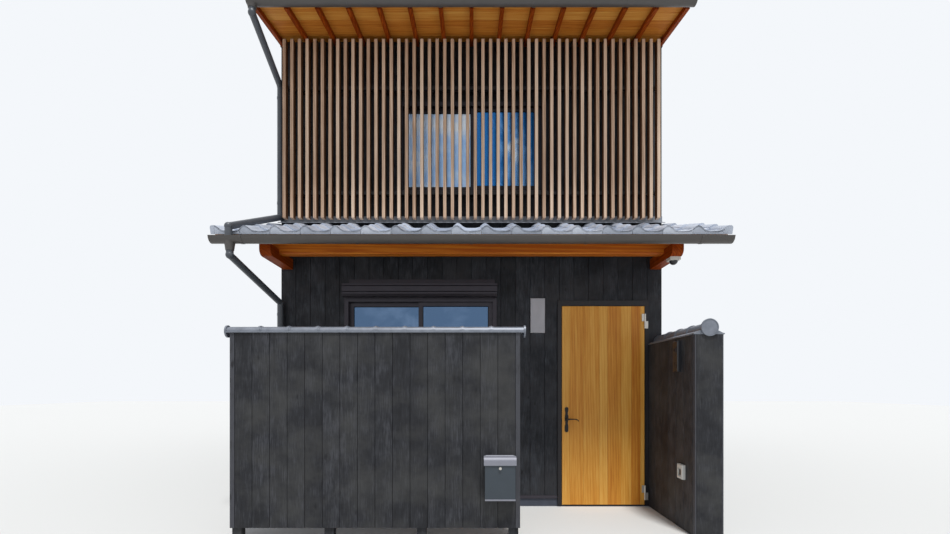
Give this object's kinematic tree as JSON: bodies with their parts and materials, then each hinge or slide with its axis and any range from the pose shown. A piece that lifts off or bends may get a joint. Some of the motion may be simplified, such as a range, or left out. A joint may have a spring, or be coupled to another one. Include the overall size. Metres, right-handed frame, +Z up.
{
  "type": "machiya townhouse",
  "caption": "Narrow two-storey townhouse with charred cedar walls, slatted upper front, tiled pent roof, hinged entrance door, screen wall and letter box.",
  "frame": {"origin": "middle of the house's footprint on the ground, on the underside of its foundation", "axes": "+Z up, the front faces -Y, +X to the right seen from the front"},
  "size_m": [4.579, 9.852, 5.5705],
  "materials": {
    "concrete": "trowelled",
    "charred_cedar": "charred and brushed boards",
    "floor_boards": "planed",
    "stained_frame": "dark stain",
    "door_cedar": "oiled vertical planks",
    "black_iron": "matt black",
    "hinge_steel": "satin",
    "bronze_aluminium": "dark bronze anodised",
    "window_glass": "clear",
    "lattice_cedar": "weathered cedar",
    "eave_cedar": "oiled cedar",
    "clay_tile": "smoked silver",
    "grey_flashing": "satin",
    "dark_gutter": "satin",
    "grey_pipe": "satin",
    "roof_sheet": "satin",
    "box_enamel": "satin",
    "lid_enamel": "satin",
    "plate_metal": "matt",
    "dark_plastic": "satin",
    "white_plastic": "satin"
  },
  "bodies": {
    "house": {"foundation": "concrete", "front_wall_left": "charred_cedar", "front_wall_right": "charred_cedar", "front_wall_over_door": "charred_cedar", "upper_front_wall": "charred_cedar", "left_party_wall": "charred_cedar", "right_party_wall": "charred_cedar", "rear_wall": "charred_cedar", "screen_frame": "charred_cedar", "screen_boards": "charred_cedar", "return_wall": "charred_cedar", "upper_floor": "floor_boards", "door_frame": "stained_frame", "hinge_pins": "hinge_steel", "lower_window_frame": "bronze_aluminium", "upper_window_frame": "bronze_aluminium", "rear_window_frames": "bronze_aluminium", "shutter_box": "bronze_aluminium", "lower_window_glass": "window_glass", "upper_window_glass": "window_glass", "rear_window_glass": "window_glass", "lattice": "lattice_cedar", "pent_arms": "eave_cedar", "pent_beam": "eave_cedar", "pent_rafters": "eave_cedar", "pent_deck": "eave_cedar", "eave_soffits": "eave_cedar", "eave_rafters": "eave_cedar", "pent_tiles": "clay_tile", "screen_cap": "clay_tile", "return_wall_cap": "clay_tile", "pent_flashing": "grey_flashing", "pent_gutter": "dark_gutter", "eave_gutters": "dark_gutter", "downpipes": "grey_pipe", "roof_front_slope": "roof_sheet", "roof_rear_slope": "roof_sheet", "ridge_cap": "roof_sheet", "letter_box": "box_enamel", "nameplate": "plate_metal", "intercom": "dark_plastic", "outlet_cover": "white_plastic", "sensor_light": "white_plastic"},
    "door": {"door_leaf": "door_cedar", "door_plate": "black_iron", "hinge_knuckles": "hinge_steel"},
    "lever": {"door_lever": "black_iron"},
    "box_lid": {"letter_box_lid": "lid_enamel"}
  },
  "joints": [
    {"name": "door_hinge", "type": "hinge", "parent": "house", "child": "door", "pos_m": [1.7905, -3.97, 1.05], "axis": [0, 0, 1], "range_deg": [0, 85]},
    {"name": "lever_turn", "type": "hinge", "parent": "door", "child": "lever", "pos_m": [0.982, -3.99, 0.905], "axis": [0, 1, 0], "range_deg": [0, 40], "stiffness_Nm_per_rad": 1.2, "springref_deg": -34.38},
    {"name": "lid_hinge", "type": "hinge", "parent": "house", "child": "box_lid", "pos_m": [0.226, -5.052, 0.6845], "axis": [-1, 0, 0], "range_deg": [0, 75]}
  ]
}
